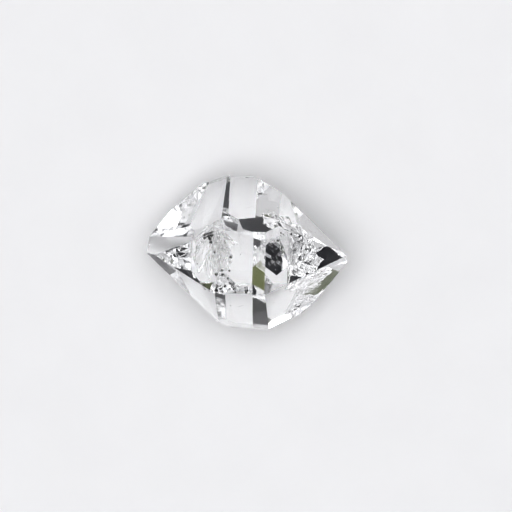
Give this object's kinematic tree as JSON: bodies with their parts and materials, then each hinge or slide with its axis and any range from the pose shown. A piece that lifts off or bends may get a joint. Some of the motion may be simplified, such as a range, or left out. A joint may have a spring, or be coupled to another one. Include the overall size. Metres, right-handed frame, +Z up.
{
  "type": "herkimer diamond",
  "caption": "Clear quartz crystal with a faceted point at both ends of a short hexagonal prism, lying on a flat prism face.",
  "frame": {"origin": "bottom centre of the crystal's box, on the plane of the face that it rests on", "axes": "+X along the c axis towards the point on the right, +Z up from the resting face, +Y completes the frame"},
  "size_m": [0.0238, 0.0182, 0.018],
  "materials": {
    "quartz": "clear colourless quartz with bright natural crystal faces"
  },
  "bodies": {
    "root": {"crystal": "quartz"}
  },
  "joints": []
}
